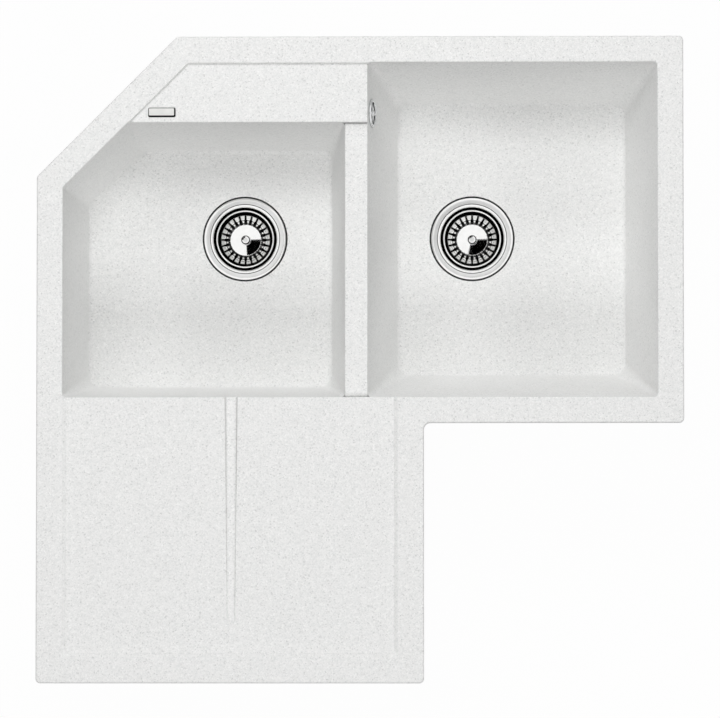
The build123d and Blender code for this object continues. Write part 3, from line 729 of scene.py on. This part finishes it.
def makeBasket(side, middle):
    step = 2 * math.pi / basket["slots"]
    columns = basket["columns"]
    bm = bmesh.new()
    verts = [bm.verts.new((mm(radius), 0, mm(height))) for radius, height, _ in basket["rows"]]
    for start, end in zip(verts, verts[1:]):
        bm.edges.new((start, end))
    bmesh.ops.rotate(bm, verts=bm.verts, cent=(0, 0, 0), matrix=Matrix.Rotation(-step / 2, 3, "Z"))
    spinOutline(bm, columns, step, merge=False)
    halves = {rowKey(radius): half for radius, _, half in basket["rows"]}
    ripples = {rowKey(radius): height for radius, height in basket["ripple"].items()}
    for vert in bm.verts:
        radius = vert.co.xy.length
        row = rowKey(radius * 1000)
        half = halves[row]
        across = math.atan2(vert.co.y, vert.co.x) / step  # -0.5 to 0.5 across the sector
        line = round((across + 0.5) * columns)
        edge = mm(half or basket["plainHalf"]) / radius
        between = (step / 2 + edge) / 2
        turn = (-step / 2, -between, -edge, edge, between, step / 2)[line]
        vert.co.x = radius * math.cos(turn)
        vert.co.y = radius * math.sin(turn)
        if half:
            vert.co.z -= mm(basket["pressed"]) * basket["pressedAcross"][line]
            vert.co.z += mm(ripples.get(row, 0)) * basket["rippleAcross"][line]
    opening = []
    for face in bm.faces:
        slotted = all(halves[rowKey(vert.co.xy.length * 1000)] for vert in face.verts)
        centre = face.calc_center_median()
        if slotted and abs(math.atan2(centre.y, centre.x)) < step * basket["slotReach"]:
            opening.append(face)
    bmesh.ops.delete(bm, geom=opening, context="FACES")
    bmesh.ops.spin(
        bm,
        geom=bm.verts[:] + bm.edges[:] + bm.faces[:],
        cent=(0, 0, 0),
        axis=(0, 0, 1),
        dvec=(0, 0, 0),
        angle=2 * math.pi,
        steps=basket["slots"],
        use_duplicate=True,
    )
    bmesh.ops.remove_doubles(bm, verts=bm.verts, dist=mm(basket["weld"]))
    bmesh.ops.recalc_face_normals(bm, faces=bm.faces)
    if sum(face.normal.z for face in bm.faces) < 0:
        bmesh.ops.reverse_faces(bm, faces=bm.faces)
    # Painted shade: the steep wall gets the near black steel
    for face in bm.faces:
        if faceReach(face)[0] > basket["wall"]:
            face.material_index = 2
    sheet = makePiece(
        side + "BasketSheet",
        bm,
        Matrix.Translation(middle),
        [polishedSteel[side], satinSteel[side], shadeBlackSteel, satinSteel[side]],
        side + "_basket_set",
        [side + "_basket"],
        sharp=60,
    )
    solidify = sheet.modifiers.new("sheet", "SOLIDIFY")
    solidify.thickness = mm(basket["sheet"])
    solidify.offset = -1
    solidify.material_offset = 1  # the sheet's outside is satin, also where its inside is painted near black as shade
    smooth = sheet.modifiers.new("pressing", "SUBSURF")
    smooth.levels = smooth.render_levels = 1
    wire = basket["rimWire"]
    corners = [
        (basket["rimMiddle"] + out * wire, basket["rimHeight"] + up * wire, wire * basket["rimRounding"])
        for out, up in ((-1, -1), (1, -1), (1, 1), (-1, 1))
    ]
    makePiece(
        side + "BasketRim",
        turned(corners),
        Matrix.Translation(middle),
        [polishedSteel[side]],
        side + "_basket_set",
    )


# The basket's knob: a turned button on a waisted neck
knob = {
    "outline": [
        (0, -22.1, 0),
        (4.6, -22.1, 0),
        (4.2, -20.9, 0.6),
        (3.4, -18.3, 1.4),
        (5.8, -16.2, 0.8),
        (5.8, -14.6, 0.6),
        (4.6, -13.7, 0.15),
        (3.0, -13.92, 0.1),
        (0, -13.95, 0),
    ],
    "cap": 4.6,  # a dished polished ring with a satin middle; the side and the neck below are painted near black as shade
    "middle": 3.0,
    # below this height the neck is painted near black as shade
    "paintedShadeBelow": -16.5,
}


def makeKnob(side, middle):
    bm = turned(knob["outline"], 48, closed=False)
    # Painted shade: the knob's side and neck get the near black steel
    for face in bm.faces:
        reach, height = faceReach(face)
        if reach > knob["cap"] or height < knob["paintedShadeBelow"]:
            face.material_index = 1
        elif reach < knob["middle"]:
            face.material_index = 2
    makePiece(
        side + "BasketKnob",
        bm,
        Matrix.Translation(middle),
        [polishedSteel[side], shadeBlackSteel, satinSteel[side]],
        side + "_basket_set",
        [side + "_basket_knob"],
    )


# The seal under the flange, with a thin black lip that fills the gap around the flange's edge: painted
# shade for that gap
sealWithShadeLip = [
    (46.5, -2.45, 0.1),
    (56.05, -2.45, 0.1),
    (56.05, -0.1, 0.2),
    (54.1, -0.1, 0.2),
    (54.1, -1.1, 0),
    (46.5, -1.1, 0.1),
]


def makeFlangeSeal(side, middle):
    bm = turned(sealWithShadeLip, 128)
    place = Matrix.Translation(middle)
    makePiece(side + "SealWithShadeLip", bm, place, [rubber], "sink", [side + "_flange_gasket"])


for side, middle in drains.items():
    makeStrainer(side, middle)
    makeFlangeSeal(side, middle)
    makeBasket(side, middle)
    makeKnob(side, middle)
print("strainers made")


# Badge: a black base with a bare satin face, set a little towards the back.
# Its plates are (length, width, height, corner radius, edge radius).
badge = {
    "middle": (0.06696, -0.00396, 0.006),
    "base": (35.0, 12.0, 0.55, 1.8, 0.15),
    "face": (32.3, 9.2, 0.35, 1.08, 0.075),
    "faceOffset": (-0.5, 0.75, 0.45),
}


def roundedPlate(length, width, height, corner, edge):
    bm = bmesh.new()
    bmesh.ops.create_cube(bm, size=1)
    bmesh.ops.scale(bm, vec=(mm(length), mm(width), mm(height)), verts=bm.verts)
    bmesh.ops.translate(bm, vec=(0, 0, mm(height / 2)), verts=bm.verts)
    upright = [e for e in bm.edges if abs(e.verts[0].co.z - e.verts[1].co.z) > mm(height / 2)]
    bevelEdges(bm, upright, corner, 5)
    top = [e for e in bm.edges if min(v.co.z for v in e.verts) > mm(height * 0.99)]
    bevelEdges(bm, top, edge, 2)
    return bm


def makeBadge():
    place = Matrix.Translation(badge["middle"])
    base = roundedPlate(*badge["base"])
    makePiece("badgeBase", base, place, [blackChromeAndPaintedShade], "sink", ["badge_plate"])
    lift = Matrix.Translation([mm(part) for part in badge["faceOffset"]])
    face = roundedPlate(*badge["face"])
    makePiece("badgeFace", face, place @ lift, [anodised], "sink")


makeBadge()
print("badge made")

# The overflow's frame: x runs down the wall, z out of it
overflowTurn = Matrix(
    (
        (0.198234, 0, 0.980155, 0.33632),
        (0, 1, 0, -0.00246),
        (-0.980155, 0, 0.198234, -0.027),
        (0, 0, 0, 1),
    )
)

# Overflow cover: a bright ring with six openings between its arms, made dark by a black disc behind them
# that is painted shade, and a domed screw in the middle
rosette = {
    "ring": [(14.4, 0.0, 0), (18.0, 0.0, 0.3), (18.0, 2.2, 1.4), (16.4, 3.0, 0.9), (14.4, 2.2, 0.6)],
    "arms": 6,
    "arm": (11.0, 2.4, 1.2),
    "armEdge": 0.45,
    "armMiddle": (9.6, 0, 1.3),
    "boss": [(0, 0.2, 0), (5.2, 0.2, 0.2), (5.2, 1.6, 0.8), (4.2, 2.1, 0.3), (0, 2.1, 0)],
    "shadeDisc": [(0, 0.05, 0), (14.8, 0.05, 0), (14.8, 0.55, 0.1), (0, 0.55, 0)],
}
# Its screw goes through the housing behind the wall
coverScrew = {
    "outline": [
        (0, -31.7, 0),
        (1.3, -31.7, 0.2),
        (1.95, -30.7, 0.2),
        (1.95, 1.9, 0),
        (4.0, 1.9, 0.2),
        (4.0, 3.2, 0.7),
        (2.0, 3.9, 0.8),
        (0, 3.95, 0),
    ],
    "slotHalf": 0.5,
    "slotFloor": 3.0,
    "thread": {"radius": 1.9, "length": 12.0, "pitch": 1.0, "depth": 0.25, "steps": 16},
    "threadFoot": -30.6,
}


def makeRosette():
    bm = turned(rosette["ring"])
    joinMesh(bm, turned(rosette["boss"], 48, closed=False))
    outward = Matrix.Translation([mm(part) for part in rosette["armMiddle"]])
    for step in range(rosette["arms"]):
        arm = bevelBox(rosette["arm"], rosette["armEdge"])
        turn = Matrix.Rotation(2 * math.pi * step / rosette["arms"], 4, "Z")
        joinMesh(bm, arm, turn @ outward)
    # Painted shade: a black disc behind the openings
    shadeDisc = turned(rosette["shadeDisc"], 64, closed=False)
    for face in shadeDisc.faces:
        face.material_index = 1
    joinMesh(bm, shadeDisc)
    finish = [chrome, blackChromeAndPaintedShade]
    makePiece("overflowCover", bm, overflowTurn, finish, "sink", ["overflow_rosette"])


# A slot is cut across a turned head: the strip between two cuts is pushed down to one level
def cutSlot(bm, half, floor):
    planes = [((half, 0, 0), (1, 0, 0)), ((-half, 0, 0), (1, 0, 0)), ((0, 0, floor), (0, 0, 1))]
    for place, normal in planes:
        bmesh.ops.bisect_plane(
            bm,
            geom=bm.verts[:] + bm.edges[:] + bm.faces[:],
            dist=cutReach,
            plane_co=[mm(part) for part in place],
            plane_no=normal,
        )
    strip = []
    for face in bm.faces:
        middle = face.calc_center_median()
        if abs(middle.x) < mm(half) and middle.z > mm(floor):
            strip.append(face)
    pushed = bmesh.ops.extrude_face_region(bm, geom=strip)
    for vert in pushed["geom"]:
        if isinstance(vert, bmesh.types.BMVert):
            vert.co.z = mm(floor)
    bmesh.ops.delete(bm, geom=strip, context="FACES")
    bmesh.ops.remove_doubles(bm, verts=bm.verts, dist=mergeReach)


# One screw thread: a ridge that climbs around the piece, closed at both ends
threadShape = {
    "sunk": 0.4,  # share of the depth by which the ridge's foot is sunk into the piece
    "crest": (0.28, 0.42),  # shares of the pitch
    "width": 0.7,
}


def threadRidge(radius, length, pitch, depth, steps):
    bm = bmesh.new()
    foot = radius - depth * threadShape["sunk"]
    width = threadShape["width"]
    profile = [(foot, 0, 0)]
    profile += [(radius + depth, pitch * share, 0) for share in threadShape["crest"]]
    profile.append((foot, pitch * width, 0))
    drawOutline(bm, profile, closed=True)
    count = int((length / pitch - width) * steps)
    spinOutline(bm, count, 2 * math.pi * count / steps, mm(pitch) / steps, merge=False)
    bmesh.ops.holes_fill(bm, edges=[edge for edge in bm.edges if edge.is_boundary], sides=0)
    bmesh.ops.recalc_face_normals(bm, faces=bm.faces)
    return bm


def makeCoverScrew():
    bm = turned(coverScrew["outline"], 32, closed=False)
    cutSlot(bm, coverScrew["slotHalf"], coverScrew["slotFloor"])
    ridge = threadRidge(**coverScrew["thread"])
    joinMesh(bm, ridge, Matrix.Translation((0, 0, mm(coverScrew["threadFoot"]))))
    replaced = ["overflow_screw"]
    makePiece("overflowCoverScrew", bm, overflowTurn, [chrome], "sink", replaced)


makeRosette()
makeCoverScrew()
print("overflow cover made")

# Union nut: twelve grip panels pressed into its outside
nut = {
    "outline": [
        (20.35, 0, 0.4),
        (26.6, 0, 0.8),
        (29.3, 2.2, 1.0),
        (29.3, 21.0, 0.6),
        (28.5, 22.0, 0.4),
        (24.1, 22.0, 0.5),
        (24.1, 3.0, 0.4),
        (20.35, 2.6, 0.4),
    ],
    "steps": 48,
    "grips": 12,
    "gripReach": 28.9,
    "gripLevel": 0.1,  # panels lie on faces that look sideways
    "gripInset": 0.7,
    "gripDepth": 1.0,
}
# Each nut's lip and the way its open end faces
nutPlaces = {
    "left_union_nut": ((0.166464, -0.153964, -0.2655), (0, 0, 1)),
    "right_union_nut": ((0.465464, -0.153964, -0.2655), (0, 0, 1)),
    "left_pipe_nut": ((0.235464, -0.153964, -0.3025), (-1, 0, 0)),
    "right_pipe_nut": ((0.394464, -0.153964, -0.3025), (1, 0, 0)),
}


def aimed(place, way):
    return Matrix.Translation(place) @ Vector(way).to_track_quat("Z", "Y").to_matrix().to_4x4()


def camelName(name):
    first, *rest = name.split("_")
    return first + "".join(word.capitalize() for word in rest)


def makeNut(name, place, way):
    bm = turned(nut["outline"], nut["steps"])
    each = nut["steps"] // nut["grips"]
    panels = []
    for face in bm.faces:
        reach = faceReach(face)[0]
        middle = face.calc_center_median()
        step = int(math.atan2(middle.y, middle.x) / (2 * math.pi) * nut["steps"] + nut["steps"])
        sideways = abs(face.normal.z) < nut["gripLevel"]
        if reach > nut["gripReach"] and sideways and step % each:  # one face in each group stays a rib
            panels.append(face)
    bmesh.ops.inset_region(
        bm,
        faces=panels,
        thickness=mm(nut["gripInset"]),
        depth=-mm(nut["gripDepth"]),
        use_boundary=True,
        use_even_offset=True,
    )
    piece = camelName(name) + "Grip"
    makePiece(piece, bm, aimed(place, way), [nutGrey], "sink", [name], sharp=30)


for name, (place, way) in nutPlaces.items():
    makeNut(name, place, way)
print("union nuts made")

# Pipe threads where they show: start, way and length; the pitch is coarser than the real 2.3 mm
pipeThreads = {
    "leftValveThread": ((0.166464, -0.153964, -0.2440), (0, 0, 1), 6.4),
    "rightValveThread": ((0.465464, -0.153964, -0.2440), (0, 0, 1), 6.4),
    "elbowThread": ((0.2140, -0.153964, -0.3025), (-1, 0, 0), 6.6),
    "teeBranchThread": ((0.4160, -0.153964, -0.3025), (1, 0, 0), 6.6),
    "teeOutletThread": ((0.465464, -0.153964, -0.3662), (0, 0, 1), 19.4),
}
pipeThread = {"radius": 23.9, "pitch": 2.8, "depth": 0.75, "steps": 48}

for name, (place, way, length) in pipeThreads.items():
    ridge = threadRidge(length=length, **pipeThread)
    makePiece(name, ridge, aimed(place, way), [wasteWhite], "sink")
print("pipe threads made")

# The clamps' long screws: shaft thread between the plug and the strip, drawn at twice its real pitch
clampThread = {"radius": 2.4, "length": 30.2, "pitch": 1.6, "depth": 0.35, "steps": 16}
clampThreadFoot = -43.9
clampPlaces = [
    (0.17146, -0.71646),
    (-0.07354, -0.55646),
    (-0.07354, -0.17646),
    (0.20646, 0.07354),
    (0.55646, 0.07354),
    (0.71646, -0.14646),
    (0.55646, -0.38346),
    (0.38346, -0.54646),
]


def makeClampThreads():
    bm = bmesh.new()
    for x, y in clampPlaces:
        joinMesh(bm, threadRidge(**clampThread), Matrix.Translation((x, y, mm(clampThreadFoot))))
    makePiece("clampScrewThreads", bm, Matrix.Identity(4), [zinc], "sink")


makeClampThreads()
print("clamp threads made")

# Overflow hose: corrugated between two plain cuffs, from the overflow box down to the right valve
hose = {
    "route": [
        (0.31875, -0.00246, -0.04769),
        (0.32375, -0.00246, -0.07239),
        (0.32290, -0.00326, -0.1640),
        (0.32249, -0.00365, -0.2125),
        (0.35590, -0.03877, -0.2125),
        (0.42880, -0.11542, -0.2125),
    ],
    "crest": 11.0,
    "valley": 9.7,
    "bore": 8.85,
    "cuff": 15.0,
    "cuffEdge": (0.6, 0.4),  # length and height of the chamfer at the hose's ends
    "cuffShort": 0.8,  # the cuff's crest ends this much before the first valley
    "pitch": 3.8,
    "wave": (0, 0.7, 1, 0.7),  # height at the quarters of a wave, from valley to crest
    "sides": 28,
    "boreSteps": 60,
}


def splinePoints(route):
    curve = bpy.data.curves.new("route", "CURVE")
    curve.dimensions = "3D"
    curve.resolution_u = 24
    spline = curve.splines.new("NURBS")
    spline.points.add(len(route) - 1)
    for point, place in zip(spline.points, route):
        point.co = (*place, 1)
    spline.order_u = 3
    spline.use_endpoint_u = True
    holder = bpy.data.objects.new("route", curve)
    mesh = bpy.data.meshes.new_from_object(holder)
    points = [vert.co.copy() for vert in mesh.vertices]
    bpy.data.objects.remove(holder)
    bpy.data.curves.remove(curve)
    bpy.data.meshes.remove(mesh)
    return points


# The place and direction at a distance along the spline
def alongRoute(points, distance):
    for start, end in zip(points, points[1:]):
        span = (end - start).length
        if distance <= span or end is points[-1]:
            way = (end - start).normalized()
            return start + way * min(distance, span), way
        distance -= span


def ringEdges(verts):
    inside = set(verts)
    edges = {edge for vert in verts for edge in vert.link_edges}
    return [edge for edge in edges if all(vert in inside for vert in edge.verts)]


def makeHose():
    points = splinePoints(hose["route"])
    total = sum((end - start).length for start, end in zip(points, points[1:])) * 1000
    spare = total - 2 * hose["cuff"]
    quarters = round(spare / hose["pitch"]) * 4
    crest, valley = hose["crest"], hose["valley"]
    edgeLength, edgeHeight = hose["cuffEdge"]
    # the hose's outline as (distance along it, radius), there on the outside and back on the inside
    cuff = [(0, crest - edgeHeight), (edgeLength, crest), (hose["cuff"] - hose["cuffShort"], crest)]
    outside = cuff[:]
    for step in range(quarters + 1):
        radius = valley + (crest - valley) * hose["wave"][step % 4]
        outside.append((hose["cuff"] + spare * step / quarters, radius))
    outside += [(total - distance, radius) for distance, radius in reversed(cuff)]
    steps = hose["boreSteps"]
    inside = [(total * step / steps, hose["bore"]) for step in range(steps, -1, -1)]
    bm = bmesh.new()
    turn = lastWay = None
    rings = []
    for distance, radius in outside + inside:
        place, way = alongRoute(points, mm(distance))
        if turn is None:
            turn = way.to_track_quat("Z", "Y").to_matrix()
        else:
            turn = lastWay.rotation_difference(way).to_matrix() @ turn
        lastWay = way
        ring = bmesh.ops.create_circle(
            bm,
            cap_ends=False,
            radius=mm(radius),
            segments=hose["sides"],
            matrix=Matrix.Translation(place) @ turn.to_4x4(),
        )["verts"]
        rings.append(ringEdges(ring))
    for near, far in zip(rings, rings[1:] + rings[:1]):
        bmesh.ops.bridge_loops(bm, edges=near + far)
    bmesh.ops.recalc_face_normals(bm, faces=bm.faces)
    makePiece(
        "overflowHoseRibbed",
        bm,
        Matrix.Identity(4),
        [hoseWhite],
        "sink",
        ["overflow_hose"],
        sharp=60,
    )
    print("hose length", round(total), "mm")


makeHose()
print("hose made")

# The other pieces keep their modelled shapes and get their finishes here
finishes = {
    "sink_body": composite,
    "left_outlet_elbow": wasteWhite,
    "right_outlet_tee": wasteWhite,
    "cross_pipe": wasteWhite,
    "union_washers": rubber,
    "pipe_seals": rubber,
    "overflow_gasket": rubber,
    "overflow_housing": wasteWhite,
    "clamp_plugs": nylon,
    "clamp_screws": zinc,
}
for side in drains:
    finishes[side + "_lower_gasket"] = rubber
    finishes[side + "_valve_body"] = wasteWhite
    finishes[side + "_drain_screw"] = zinc
    finishes[side + "_basket_stopper"] = rubber
for number in range(1, len(clampPlaces) + 1):
    finishes[f"clamp_{number}_strip"] = zinc

for name, material in finishes.items():
    slots = nodes[name].data.materials
    slots.clear()
    slots.append(material)
print("finishes given to", len(finishes), "nodes")
